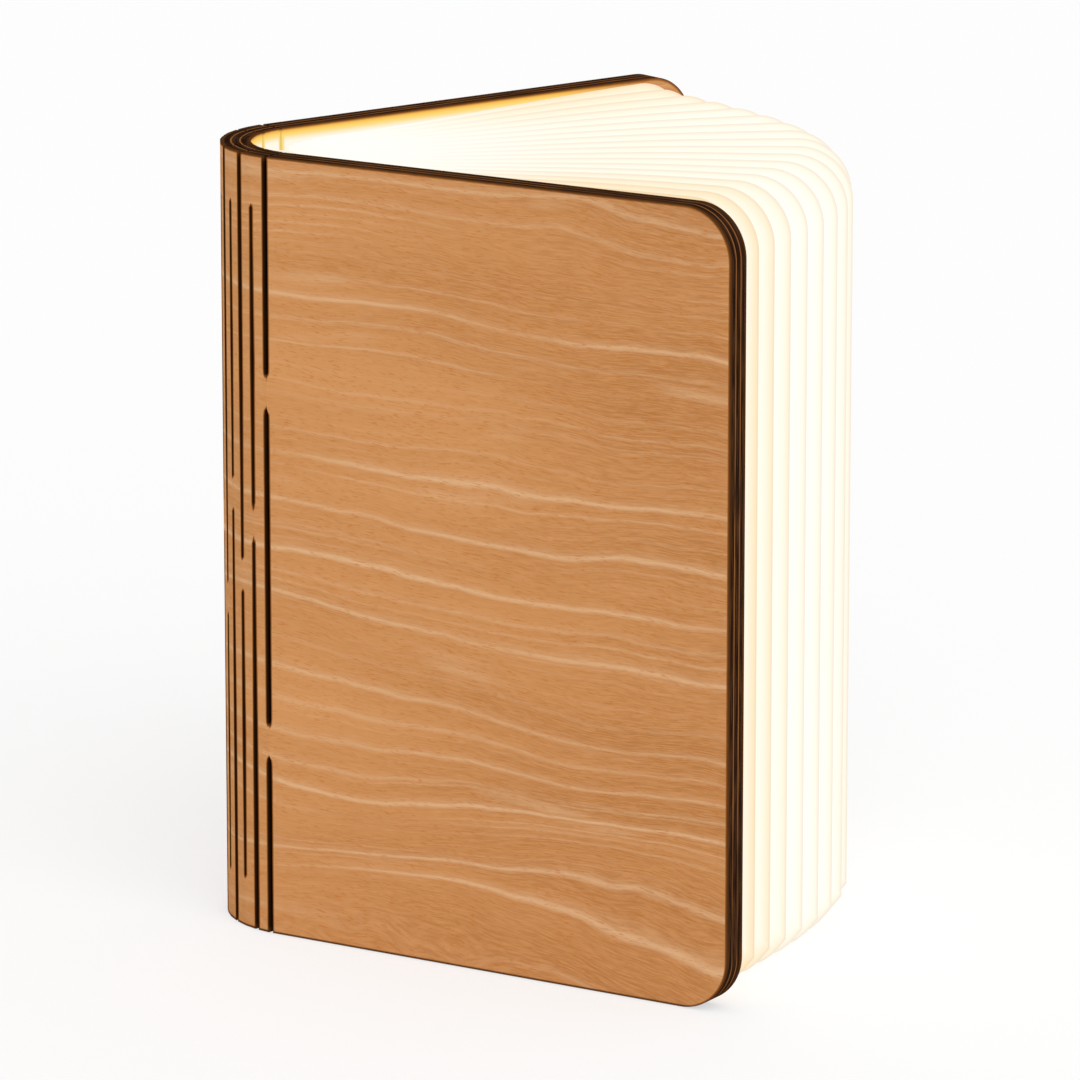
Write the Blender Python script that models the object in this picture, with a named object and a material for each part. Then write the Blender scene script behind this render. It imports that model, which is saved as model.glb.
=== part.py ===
"""Folding book lamp: a plywood cover with a kerf-cut spine, a pleated page bellows and a light unit.

World frame: +Z up, the lamp stands on Z = 0 with its spine at -X and its pages at +X. The front
cover is at -Y, the back cover at +Y, and X = 0 lies midway between spine and page edge.
"""
import math

import bmesh
import bpy
from mathutils import Matrix, Vector

# Cover, metres
COVER_HEIGHT = 0.122
COVER_REACH = 0.0817
COVER_CORNER_RADIUS = 0.008
PLY_THICKNESS = 0.0047
KERF_PITCH = 0.0025
KERF_WIDTH = 0.0007
KERFS_PER_SIDE = 6

# Hinge bridges between neighbouring spine slats
BRIDGE_THICKNESS = 0.0014
BRIDGE_CLEARANCE = 0.0003
BRIDGE_TAPER = 0.001
RIM_BRIDGE_HEIGHT = 0.0078
MID_BRIDGE_HEIGHT = 0.0045
# Height of each kerf's middle bridges as shares of the cover height, first kerf next to the centre slat
BRIDGE_SHARES = ((0.52,), (0.42,), (0.56,), (0.46,), (0.53,), (0.25, 0.70))
# Rims that stay uncut at each kerf: T is the top rim, B the bottom rim
UNCUT_RIMS = ("T", "B", "T", "B", "T", "")

# How far the lamp stands open in the modelled pose, for each cover
REST_HALF_OPENING = math.radians(35)
CLOSED_HALF_BEND = math.radians(90)

# Page bellows
LEAF_COUNT = 17
MIDDLE_LEAF = 10
LEAF_THICKNESS = 0.0003
LEAF_DEPTH = 0.021
LEAF_EDGE_INSET = 0.001
LEAF_CORNER_RADIUS = 0.0085
LEAF_INNER_RADIUS = 0.0025
PAGE_REACH = 0.097
PAGE_REACH_DROP = 0.0078
PAGE_LENS_GAP = 0.0005
PAGE_SPINE_GAP = 0.002
END_SHEET_GAP = 0.00015
END_SHEET_INSET = 0.002
END_SHEET_ROOT = 0.006

# Light unit in the spine
SEAT_GAP = 0.0003
UNIT_FOOT = 0.0025
TAPE_THICKNESS = 0.0005
TAPE_WIDTH = 0.0016
HOUSING_HALF_WIDTH = 0.005
HOUSING_BACK_HALF_WIDTH = 0.0028
HOUSING_SHOULDER = 0.0024
HOUSING_DEPTH = 0.0044
HOUSING_WALL = 0.0007
DIFFUSER_THICKNESS = 0.0008
DIFFUSER_RADIUS = 0.0097
CAP_THICKNESS = 0.0015
BATTERY_DEPTH = 0.0024
BATTERY_WIDTH = 0.0048
BATTERY_CORNER_RADIUS = 0.0009
LEAD_RUN = 0.0142
LED_BOARD_THICKNESS = 0.0006
LED_COUNT = 9
LED_SIZE = (0.0005, 0.0028, 0.0035)
SOCKET_SIZE = (0.0024, 0.0070, 0.0056)
SOCKET_WALL = 0.0003
SOCKET_TONGUE = (0.0006, 0.0038, 0.0042)
CONTROL_BOARD_SIZE = (0.0008, 0.0046, 0.024)
REED_RADIUS = 0.0005
REED_LENGTH = 0.010
WIRE_DIAMETER = 0.0006

# Magnets in the covers
COVER_MAGNET_RADIUS = 0.004
COVER_MAGNET_THICKNESS = 0.0015
COVER_MAGNET_INSET = 0.0125
SENSOR_MAGNET_RADIUS = 0.002
SENSOR_MAGNET_REACH = 0.006
POCKET_CLEARANCE = 0.0003
POCKET_OVERRUN = 0.001

# Facets of round work
CORNER_STEPS = 6
ROUND_STEPS = 24

# The frame's origin, below the middle of the lamp's length
ORIGIN = Vector((PAGE_REACH / 2, 0, 0))


def clear_scene():
    """Remove every object of the open file."""
    for item in list(bpy.data.objects):
        bpy.data.objects.remove(item, do_unlink=True)


def make_material(name, colour, roughness, metallic=0.0):
    """Return a Principled material of one colour."""
    material = bpy.data.materials.new(name)
    material.use_nodes = True
    shader = material.node_tree.nodes["Principled BSDF"]
    shader.inputs["Base Color"].default_value = (*colour, 1.0)
    shader.inputs["Roughness"].default_value = roughness
    shader.inputs["Metallic"].default_value = metallic
    material.diffuse_color = (*colour, 1.0)
    return material


def birch_ply():
    return make_material("birch_ply", (0.62, 0.36, 0.17), 0.55)


def page_paper():
    return make_material("page_paper", (0.93, 0.88, 0.78), 0.7)


def white_plastic():
    return make_material("white_plastic", (0.85, 0.85, 0.83), 0.45)


def opal_plastic():
    return make_material("opal_plastic", (0.95, 0.93, 0.88), 0.35)


def board_laminate():
    return make_material("board_laminate", (0.88, 0.88, 0.84), 0.5)


def steel():
    return make_material("steel", (0.66, 0.66, 0.67), 0.3, 1.0)


def battery_foil():
    return make_material("battery_foil", (0.55, 0.56, 0.58), 0.35, 0.8)


def led_yellow():
    return make_material("led_yellow", (0.95, 0.75, 0.30), 0.4)


def reed_glass():
    return make_material("reed_glass", (0.45, 0.60, 0.55), 0.1)


def foam_tape():
    return make_material("foam_tape", (0.12, 0.12, 0.12), 0.8)


def wire_red():
    return make_material("wire_red", (0.60, 0.05, 0.04), 0.5)


def add_object(name, mesh_builder, material, axis=Vector((0, 0, 0)), smooth=False):
    """Turn a bmesh in lamp coordinates into an object whose origin lies on its joint axis."""
    origin = axis - ORIGIN
    bmesh.ops.translate(mesh_builder, verts=mesh_builder.verts, vec=-axis)
    bmesh.ops.recalc_face_normals(mesh_builder, faces=mesh_builder.faces)
    mesh = bpy.data.meshes.new(name)
    mesh_builder.to_mesh(mesh)
    mesh_builder.free()
    mesh.materials.append(material)
    if smooth:
        mesh.shade_smooth()
        mesh.set_sharp_from_angle(angle=math.radians(35))
    item = bpy.data.objects.new(name, mesh)
    item.location = origin
    bpy.context.collection.objects.link(item)
    return item


def extrude(outline, direction):
    """Return a bmesh prism from a closed loop of points, swept along a vector."""
    builder = bmesh.new()
    corners = [builder.verts.new(point) for point in outline]
    face = builder.faces.new(corners)
    swept = bmesh.ops.extrude_face_region(builder, geom=[face])
    moved = [part for part in swept["geom"] if isinstance(part, bmesh.types.BMVert)]
    bmesh.ops.translate(builder, verts=moved, vec=direction)
    return builder


def box(low, high):
    """Return a bmesh box between two corners."""
    outline = [(low[0], low[1], low[2]), (high[0], low[1], low[2]),
               (high[0], high[1], low[2]), (low[0], high[1], low[2])]
    return extrude([Vector(point) for point in outline], Vector((0, 0, high[2] - low[2])))


def join(builders):
    """Return one bmesh that holds several separate solids."""
    whole = bmesh.new()
    for builder in builders:
        mesh = bpy.data.meshes.new("shape")
        builder.to_mesh(mesh)
        builder.free()
        whole.from_mesh(mesh)
        bpy.data.meshes.remove(mesh)
    return whole


def arc(centre, radius, start, end, steps=CORNER_STEPS):
    """Return points on an arc in a plane, from one angle to another."""
    points = []
    for step in range(steps + 1):
        angle = start + (end - start) * step / steps
        points.append((centre[0] + radius * math.cos(angle), centre[1] + radius * math.sin(angle)))
    return points


def disc(centre, radius, thickness, axis_turn):
    """Return a round slug: its axis is +Z turned by a matrix, its near face at the centre point."""
    rim = arc((0, 0), radius, 0, 2 * math.pi * (1 - 1 / ROUND_STEPS), ROUND_STEPS - 1)
    outline = [centre + axis_turn @ Vector((x, y, 0)) for x, y in rim]
    return extrude(outline, axis_turn @ Vector((0, 0, thickness)))


def combine(item, builders, operation="DIFFERENCE"):
    """Cut solids out of an object, or unite them with it, with an exact Boolean."""
    whole = join(builders)
    bmesh.ops.translate(whole, verts=whole.verts, vec=-ORIGIN)
    bmesh.ops.recalc_face_normals(whole, faces=whole.faces)
    name = f"{item.name}_{operation.lower()}"
    mesh = bpy.data.meshes.new(name)
    whole.to_mesh(mesh)
    whole.free()
    tool = bpy.data.objects.new(name, mesh)
    tool.hide_render = True
    tool.display_type = "WIRE"
    bpy.context.collection.objects.link(tool)
    modifier = item.modifiers.new(operation.lower(), "BOOLEAN")
    modifier.operation = operation
    modifier.solver = "EXACT"
    modifier.object = tool


# Spine and covers

def kerf_point(kerf, half_bend, side):
    """Middle of a kerf's wall for a spine bent by half_bend on each side; kerf 1 is next to the centre."""
    turn = half_bend / KERFS_PER_SIDE
    x = PLY_THICKNESS / 2
    y = KERF_PITCH / 2
    for slat in range(1, kerf):
        x += KERF_PITCH * math.sin(slat * turn)
        y += KERF_PITCH * math.cos(slat * turn)
    return Vector((x, side * y, 0))


def wall_turn(slat, half_bend, side):
    """Rotation from wall coordinates (along, out, up) to the lamp for a slat, or a cover at the last kerf."""
    heading = slat * half_bend / KERFS_PER_SIDE
    along = Vector((math.sin(heading), side * math.cos(heading), 0))
    out = Vector((-math.cos(heading), side * math.sin(heading), 0))
    return Matrix((along, out, Vector((0, 0, 1)))).transposed()


def rest_half_bend():
    return CLOSED_HALF_BEND - REST_HALF_OPENING


def bridge_spans(kerf):
    """Heights between which a kerf is bridged, from the foot up."""
    spans = []
    if "B" in UNCUT_RIMS[kerf - 1]:
        spans.append((0, RIM_BRIDGE_HEIGHT))
    for share in BRIDGE_SHARES[kerf - 1]:
        middle = share * COVER_HEIGHT
        spans.append((middle - MID_BRIDGE_HEIGHT / 2, middle + MID_BRIDGE_HEIGHT / 2))
    if "T" in UNCUT_RIMS[kerf - 1]:
        spans.append((COVER_HEIGHT - RIM_BRIDGE_HEIGHT, COVER_HEIGHT))
    return spans


def bridge_levels(kerf):
    """Heights of a slat's sections, each with the bridge's reach there as a share of its full reach."""
    levels = []
    for low, high in bridge_spans(kerf):
        if low > 0:
            levels.append((low - BRIDGE_TAPER, 0))
        levels.append((low, 1))
        levels.append((high, 1))
        if high < COVER_HEIGHT:
            levels.append((high + BRIDGE_TAPER, 0))
    if levels[0][0] > 0:
        levels.insert(0, (0, 0))
    if levels[-1][0] < COVER_HEIGHT:
        levels.append((COVER_HEIGHT, 0))
    return levels


def slat_section(low_reach, high_reach):
    """Cross-section of a slat in wall coordinates, with a bridge of a given reach at each end."""
    half = PLY_THICKNESS / 2
    web = BRIDGE_THICKNESS / 2
    start = KERF_WIDTH / 2
    end = KERF_PITCH - KERF_WIDTH / 2
    reach = KERF_WIDTH - BRIDGE_CLEARANCE
    low_tip = start - low_reach * reach
    high_tip = end + high_reach * reach
    return [(start, -half), (end, -half), (end, -web), (high_tip, -web), (high_tip, web), (end, web),
            (end, half), (start, half), (start, web), (low_tip, web), (low_tip, -web), (start, -web)]


def loft(sections):
    """Return a bmesh that joins loops of points, each with as many points as the last."""
    builder = bmesh.new()
    rings = [[builder.verts.new(point) for point in section] for section in sections]
    count = len(rings[0])
    for lower, upper in zip(rings, rings[1:]):
        for index in range(count):
            following = (index + 1) % count
            builder.faces.new((lower[index], lower[following], upper[following], upper[index]))
    builder.faces.new(reversed(rings[0]))
    builder.faces.new(rings[-1])
    return builder


def slat_mesh(turn, start, levels, both_ends):
    """Return one slat, standing where its wall starts, with its bridges on the far end or on both."""
    sections = []
    for height, share in levels:
        outline = slat_section(share if both_ends else 0, share)
        # Where no bridge stands, the four web points fold flat on the slat's side
        sections.append([start + turn @ Vector((u, v, height)) for u, v in outline])
    builder = loft(sections)
    bmesh.ops.remove_doubles(builder, verts=builder.verts, dist=KERF_WIDTH / 100)
    bmesh.ops.dissolve_degenerate(builder, edges=builder.edges, dist=KERF_WIDTH / 100)
    return builder


def add_slats(material):
    """The centre slat, and five slats on each side of it, each hinged at the kerf before it."""
    turn = wall_turn(0, rest_half_bend(), 1)
    start = Vector((PLY_THICKNESS / 2, -KERF_PITCH / 2, 0))
    add_object("spine_slat_centre", slat_mesh(turn, start, bridge_levels(1), True), material, start)
    for side, name in ((-1, "front"), (1, "back")):
        for slat in range(1, KERFS_PER_SIDE):
            axis = kerf_point(slat, rest_half_bend(), side)
            turn = wall_turn(slat, rest_half_bend(), side)
            builder = slat_mesh(turn, axis, bridge_levels(slat + 1), False)
            add_object(f"spine_slat_{name}_{slat}", builder, material, axis)


def rounded_cover_outline(start, reach, low, high, radius):
    """Outline in (along, up) of a board with its two fore-edge corners rounded."""
    outline = [(start, low)]
    outline += arc((reach - radius, low + radius), radius, -math.pi / 2, 0)
    outline += arc((reach - radius, high - radius), radius, 0, math.pi / 2)
    outline.append((start, high))
    return outline


def cover_magnet_places():
    """Centres in (along, up) of the two magnets near a cover's fore edge."""
    along = COVER_REACH - COVER_MAGNET_INSET
    return [(along, COVER_MAGNET_INSET), (along, COVER_HEIGHT - COVER_MAGNET_INSET)]


def magnet_slugs(turn, start, places, radius, depth, lift):
    """Round slugs that stand on the floor of pockets in a cover's inner face."""
    face_turn = turn @ Matrix(((1, 0, 0), (0, 0, -1), (0, 1, 0)))
    slugs = []
    for along, up in places:
        centre = start + turn @ Vector((along, lift, up))
        slugs.append(disc(centre, radius, depth, face_turn))
    return slugs


def add_cover(side, name, materials):
    """One cover board with its magnets in pockets and the end sheet of the bellows on its inner face."""
    start = kerf_point(KERFS_PER_SIDE, rest_half_bend(), side)
    turn = wall_turn(KERFS_PER_SIDE, rest_half_bend(), side)
    axis = cover_axis(side)
    half = PLY_THICKNESS / 2
    outline = rounded_cover_outline(KERF_WIDTH / 2, COVER_REACH, 0, COVER_HEIGHT, COVER_CORNER_RADIUS)
    points = [start + turn @ Vector((u, half, z)) for u, z in outline]
    board = add_object(f"{name}_board", extrude(points, turn @ Vector((0, -PLY_THICKNESS, 0))),
                       materials["ply"], axis)
    floor = COVER_MAGNET_THICKNESS + 2 * POCKET_CLEARANCE
    pocket_depth = floor + POCKET_OVERRUN
    places = cover_magnet_places()
    pockets = magnet_slugs(turn, start, places, COVER_MAGNET_RADIUS + POCKET_CLEARANCE,
                           pocket_depth, floor - half)
    seat = floor - half - POCKET_CLEARANCE
    magnets = magnet_slugs(turn, start, places, COVER_MAGNET_RADIUS, COVER_MAGNET_THICKNESS, seat)
    for corner, magnet in zip(("bottom", "top"), magnets):
        add_object(f"{name}_magnet_{corner}", magnet, materials["steel"], axis, smooth=True)
    if side > 0:
        sensor = [(SENSOR_MAGNET_REACH, COVER_HEIGHT / 2)]
        pockets += magnet_slugs(turn, start, sensor, SENSOR_MAGNET_RADIUS + POCKET_CLEARANCE,
                                pocket_depth, floor - half)
        slug = magnet_slugs(turn, start, sensor, SENSOR_MAGNET_RADIUS, COVER_MAGNET_THICKNESS, seat)
        add_object("sensor_magnet", slug[0], materials["steel"], axis, smooth=True)
    combine(board, pockets)
    sheet = c_outline(END_SHEET_ROOT, COVER_REACH - END_SHEET_INSET)
    inner = half + END_SHEET_GAP
    points = [start + turn @ Vector((u, -inner, z)) for u, z in sheet]
    add_object(f"{name}_end_sheet", extrude(points, turn @ Vector((0, -LEAF_THICKNESS, 0))),
               materials["paper"], axis)


# Page bellows

def c_outline(root, tip):
    """Outline in (along, up) of a C-shaped leaf: two arms joined at the fore edge, open to the spine."""
    low = LEAF_EDGE_INSET
    high = COVER_HEIGHT - LEAF_EDGE_INSET
    inner = tip - LEAF_DEPTH
    bend = LEAF_INNER_RADIUS
    outline = rounded_cover_outline(root, tip, low, high, LEAF_CORNER_RADIUS)
    outline.append((root, high - LEAF_DEPTH))
    outline += arc((inner - bend, high - LEAF_DEPTH - bend), bend, math.pi / 2, 0, CORNER_STEPS // 2)
    outline += arc((inner - bend, low + LEAF_DEPTH + bend), bend, 0, -math.pi / 2, CORNER_STEPS // 2)
    outline.append((root, low + LEAF_DEPTH))
    return outline


def leaf_share(leaf):
    """Share of its cover's swing that a leaf makes: -1 at the front cover, 1 at the back, 0 in the middle."""
    part = leaf / (LEAF_COUNT + 1)
    middle = MIDDLE_LEAF / (LEAF_COUNT + 1)
    lean = (middle - 1 / 2) / (middle * (1 - middle))
    return 2 * (part - lean * part * (1 - part)) - 1


def wall_axis(share):
    """Upright line in the spine's bent wall, at a share of the way from the centre slat to a cover."""
    half_length = KERFS_PER_SIDE * KERF_PITCH
    radius = half_length / rest_half_bend()
    angle = rest_half_bend() * share
    return Vector((PLY_THICKNESS / 2 + radius * (1 - math.cos(angle)), radius * math.sin(angle), 0))


def leaf_axis(leaf):
    """Hinge line between a leaf and its neighbour towards the middle leaf."""
    inward = leaf + 1 if leaf < MIDDLE_LEAF else leaf - 1
    return wall_axis((leaf_share(leaf) + leaf_share(inward)) / 2)


def cover_axis(side):
    """Hinge line between a cover and the leaf beside it."""
    outermost = 1 if side < 0 else LEAF_COUNT
    return wall_axis((leaf_share(outermost) + side) / 2)


def turn_about(axis, angle):
    """Matrix that turns space about an upright line."""
    return Matrix.Translation(axis) @ Matrix.Rotation(angle, 4, "Z") @ Matrix.Translation(-axis)


def leaf_from_closed(leaf):
    """Matrix that carries a leaf from the closed book to the modelled opening."""
    whole = Matrix.Identity(4)
    step = 1 if leaf > MIDDLE_LEAF else -1
    for link in range(MIDDLE_LEAF + step, leaf + step, step) if leaf != MIDDLE_LEAF else ():
        swing = REST_HALF_OPENING * (leaf_share(link) - leaf_share(link - step))
        # Closing turns each link back about its hinge as it stands at rest
        whole = whole @ turn_about(leaf_axis(link), -swing)
    return whole.inverted()


def closed_leaf_level(leaf):
    """Sideways place of a leaf in the closed book, evenly stacked between the covers."""
    half_gap = abs(kerf_point(KERFS_PER_SIDE, CLOSED_HALF_BEND, 1).y) - PLY_THICKNESS / 2
    return half_gap * (2 * leaf / (LEAF_COUNT + 1) - 1)


def leaf_tip(leaf):
    """Reach of a leaf in the closed book, longest in the middle of the block."""
    spread = abs(leaf_share(leaf))
    return PAGE_REACH - PAGE_REACH_DROP * (1 - math.cos(math.pi * min(1, spread * 9 / 8))) / 2


def leaf_root(leaf):
    """Start of a leaf in the closed book, just clear of the lens and the spine through its whole swing."""
    radius = KERFS_PER_SIDE * KERF_PITCH / CLOSED_HALF_BEND
    wall = PLY_THICKNESS / 2 + radius * (1 - math.cos(leaf_share(leaf) * CLOSED_HALF_BEND))
    clear = DIFFUSER_RADIUS + PAGE_LENS_GAP
    lens = PLY_THICKNESS / 2 + math.sqrt(clear ** 2 - closed_leaf_level(leaf) ** 2)
    return max(lens, wall + PLY_THICKNESS / 2 + PAGE_SPINE_GAP)


def add_leaves(material):
    """Every leaf of the bellows as its own thin plate."""
    for leaf in range(1, LEAF_COUNT + 1):
        level = closed_leaf_level(leaf) - LEAF_THICKNESS / 2
        place = leaf_from_closed(leaf)
        outline = [place @ Vector((x, level, z)) for x, z in c_outline(leaf_root(leaf), leaf_tip(leaf))]
        sweep = place.to_3x3() @ Vector((0, LEAF_THICKNESS, 0))
        axis = Vector((0, 0, 0)) if leaf == MIDDLE_LEAF else leaf_axis(leaf)
        add_object(f"page_leaf_{leaf:02d}", extrude(outline, sweep), material, axis)


# Light unit

def tape_start():
    return PLY_THICKNESS + SEAT_GAP


def housing_back():
    return tape_start() + TAPE_THICKNESS + SEAT_GAP


def housing_front():
    return housing_back() + HOUSING_DEPTH


def housing_inside():
    """Plane of the housing's back wall that the parts inside it stand off from."""
    return housing_back() + HOUSING_WALL


def unit_top():
    """The light unit stops as far below the covers' upper edges as it stands above the table."""
    return COVER_HEIGHT - UNIT_FOOT


def channel_height():
    """Height of the channel and its lens, between the two end caps."""
    return unit_top() - UNIT_FOOT - 2 * (CAP_THICKNESS + SEAT_GAP)


def housing_profile(shrink, back_shrink, front):
    """Half-round channel profile in plan, from one front edge round the back to the other."""
    side = HOUSING_HALF_WIDTH - shrink
    back = housing_back() + back_shrink
    shoulder = housing_back() + HOUSING_SHOULDER
    narrow = HOUSING_BACK_HALF_WIDTH - shrink / 2
    return [(front, -side), (shoulder, -side), (back, -narrow), (back, narrow), (shoulder, side), (front, side)]


def add_housing(material):
    """Channel that holds the light unit's parts, open to the pages."""
    outer = housing_profile(0, 0, housing_front())
    inner = housing_profile(HOUSING_WALL, HOUSING_WALL, housing_front())
    outline = [Vector((x, y, UNIT_FOOT + CAP_THICKNESS + SEAT_GAP)) for x, y in outer + inner[::-1]]
    add_object("light_housing", extrude(outline, Vector((0, 0, channel_height()))), material, smooth=True)


def diffuser_arc(radius, reach):
    """Points of the lens's bulged section at one radius, from front side to back side."""
    return arc((PLY_THICKNESS / 2, 0), radius, -reach, reach, 2 * CORNER_STEPS)


def diffuser_outer():
    """Outer face of the lens, as wide as the channel."""
    return diffuser_arc(DIFFUSER_RADIUS, math.asin(HOUSING_HALF_WIDTH / DIFFUSER_RADIUS))


def add_diffuser(material):
    """Opal lens that closes the channel towards the pages; its foot seats on the channel's front edges."""
    foot = housing_front() + SEAT_GAP
    radius = DIFFUSER_RADIUS - DIFFUSER_THICKNESS
    inner = diffuser_arc(radius, math.acos((foot - PLY_THICKNESS / 2) / radius))
    outline = [(foot, -HOUSING_HALF_WIDTH)] + diffuser_outer() + [(foot, HOUSING_HALF_WIDTH)] + inner[::-1]
    base = UNIT_FOOT + CAP_THICKNESS + SEAT_GAP
    points = [Vector((x, y, base)) for x, y in outline]
    add_object("diffuser", extrude(points, Vector((0, 0, channel_height()))), material, smooth=True)


def cap_outline():
    """Outer outline of the end caps: the channel's back with the lens's bulge in front."""
    back = housing_profile(0, 0, housing_front())[1:-1]
    return back + diffuser_outer()[::-1]


def socket_box(grow):
    """Corners of the charging socket, grown on its four sides."""
    front = housing_front()
    back = front - SOCKET_SIZE[0]
    low = (back - grow, -SOCKET_SIZE[1] / 2 - grow, UNIT_FOOT)
    high = (front + grow, SOCKET_SIZE[1] / 2 + grow, UNIT_FOOT + SOCKET_SIZE[2])
    return low, high


def add_end_caps(material):
    """Two caps that close the channel; the lower one lets the charging socket through."""
    outline = cap_outline()
    top = [Vector((x, y, unit_top() - CAP_THICKNESS)) for x, y in outline]
    add_object("top_end_cap", extrude(top, Vector((0, 0, CAP_THICKNESS))), material, smooth=True)
    bottom = [Vector((x, y, UNIT_FOOT)) for x, y in outline]
    cap = add_object("bottom_end_cap", extrude(bottom, Vector((0, 0, CAP_THICKNESS))), material, smooth=True)
    low, high = socket_box(SEAT_GAP)
    low = (low[0], low[1], UNIT_FOOT - POCKET_OVERRUN)
    high = (high[0], high[1], UNIT_FOOT + CAP_THICKNESS + POCKET_OVERRUN)
    combine(cap, [box(low, high)])


def add_socket(material):
    """Charging socket: a steel shell open at the foot, with a contact tongue hanging from its roof."""
    low, high = socket_box(0)
    shell = add_object("usb_socket", box(low, high), material)
    roof = high[2] - SOCKET_WALL
    mouth_low = (low[0] + SOCKET_WALL, low[1] + SOCKET_WALL, low[2] - POCKET_OVERRUN)
    mouth_high = (high[0] - SOCKET_WALL, high[1] - SOCKET_WALL, roof)
    combine(shell, [box(mouth_low, mouth_high)])
    middle = (low[0] + high[0]) / 2
    half = SOCKET_TONGUE[0] / 2
    width = SOCKET_TONGUE[1] / 2
    tongue = box((middle - half, -width, roof - SOCKET_TONGUE[2]), (middle + half, width, roof + SOCKET_WALL / 2))
    combine(shell, [tongue], "UNION")


def led_board_back():
    return housing_inside() + SEAT_GAP + BATTERY_DEPTH + SEAT_GAP


def inner_foot():
    """Height above which the boards and the battery start, over the charging socket."""
    return UNIT_FOOT + SOCKET_SIZE[2] + SEAT_GAP


def inner_top():
    return unit_top() - CAP_THICKNESS - SEAT_GAP - HOUSING_WALL


def control_board_top():
    return inner_foot() + CONTROL_BOARD_SIZE[2]


def battery_foot():
    """The cell stands over the control board, with room for its two leads between them."""
    return control_board_top() + LEAD_RUN


def add_led_board(materials):
    """Long circuit board across the channel with a row of warm white lamps."""
    back = led_board_back()
    front = back + LED_BOARD_THICKNESS
    half = HOUSING_HALF_WIDTH - HOUSING_WALL - SEAT_GAP
    board = box((back, -half, inner_foot()), (front, half, inner_top()))
    add_object("led_board", board, materials["laminate"])
    pitch = (inner_top() - inner_foot()) / LED_COUNT
    for index in range(LED_COUNT):
        middle = inner_foot() + pitch * (index + 1 / 2)
        low = (front + SEAT_GAP, -LED_SIZE[1] / 2, middle - LED_SIZE[2] / 2)
        high = (front + SEAT_GAP + LED_SIZE[0], LED_SIZE[1] / 2, middle + LED_SIZE[2] / 2)
        add_object(f"led_chip_{index + 1}", box(low, high), materials["led"])


def add_battery(material):
    """Flat lithium cell behind the lamp board, with rounded long edges."""
    back = housing_inside() + SEAT_GAP
    radius = BATTERY_CORNER_RADIUS
    half = BATTERY_WIDTH / 2 - radius
    front = back + BATTERY_DEPTH - radius
    outline = arc((back + radius, -half), radius, math.pi, 3 * math.pi / 2)
    outline += arc((front, -half), radius, -math.pi / 2, 0)
    outline += arc((front, half), radius, 0, math.pi / 2)
    outline += arc((back + radius, half), radius, math.pi / 2, math.pi)
    points = [Vector((x, y, battery_foot())) for x, y in outline]
    height = inner_top() - battery_foot()
    add_object("battery_cell", extrude(points, Vector((0, 0, height))), material, smooth=True)


def add_control_board(materials):
    """Charging and switching board below the battery, with the glass reed switch on its back."""
    front = led_board_back() - SEAT_GAP
    back = front - CONTROL_BOARD_SIZE[0]
    half = CONTROL_BOARD_SIZE[1] / 2
    board = box((back, -half, inner_foot()), (front, half, control_board_top()))
    add_object("control_board", board, materials["laminate"])
    middle = (inner_foot() + control_board_top()) / 2
    centre = Vector((back - SEAT_GAP - REED_RADIUS, 0, middle - REED_LENGTH / 2))
    tube = disc(centre, REED_RADIUS, REED_LENGTH, Matrix.Identity(3))
    add_object("reed_switch", tube, materials["glass"], smooth=True)


def add_battery_leads(material):
    """Two insulated leads that run from the cell's foot to the control board."""
    foot = control_board_top() + SEAT_GAP
    length = LEAD_RUN - 2 * SEAT_GAP
    middle = led_board_back() - SEAT_GAP - CONTROL_BOARD_SIZE[0] / 2
    for side, name in ((-1, "minus"), (1, "plus")):
        centre = Vector((middle, side * BATTERY_WIDTH / 4, foot))
        lead = disc(centre, WIRE_DIAMETER / 2, length, Matrix.Identity(3))
        add_object(f"battery_lead_{name}", lead, material, smooth=True)


def add_mounting_tape(material):
    """Foam tape that holds the housing to the centre slat."""
    half = TAPE_WIDTH / 2
    low = (tape_start(), -half, UNIT_FOOT + CAP_THICKNESS + SEAT_GAP)
    high = (tape_start() + TAPE_THICKNESS, half, unit_top() - CAP_THICKNESS - SEAT_GAP)
    add_object("mounting_tape", box(low, high), material)


def build():
    """Make every piece of the lamp."""
    clear_scene()
    materials = {"ply": birch_ply(), "paper": page_paper(), "steel": steel(), "laminate": board_laminate(),
                 "led": led_yellow(), "glass": reed_glass()}
    add_slats(materials["ply"])
    for side, name in ((-1, "front"), (1, "back")):
        add_cover(side, name, materials)
    add_leaves(materials["paper"])
    plastic = white_plastic()
    add_housing(plastic)
    add_diffuser(opal_plastic())
    add_end_caps(plastic)
    add_socket(materials["steel"])
    add_led_board(materials)
    add_battery(battery_foil())
    add_control_board(materials)
    add_battery_leads(wire_red())
    add_mounting_tape(foam_tape())


build()
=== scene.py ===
"""Folding book lamp: a kerf-bent plywood cover round a lit paper bellows."""
import math

import bmesh
import bpy
from mathutils import Matrix, Vector


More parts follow.
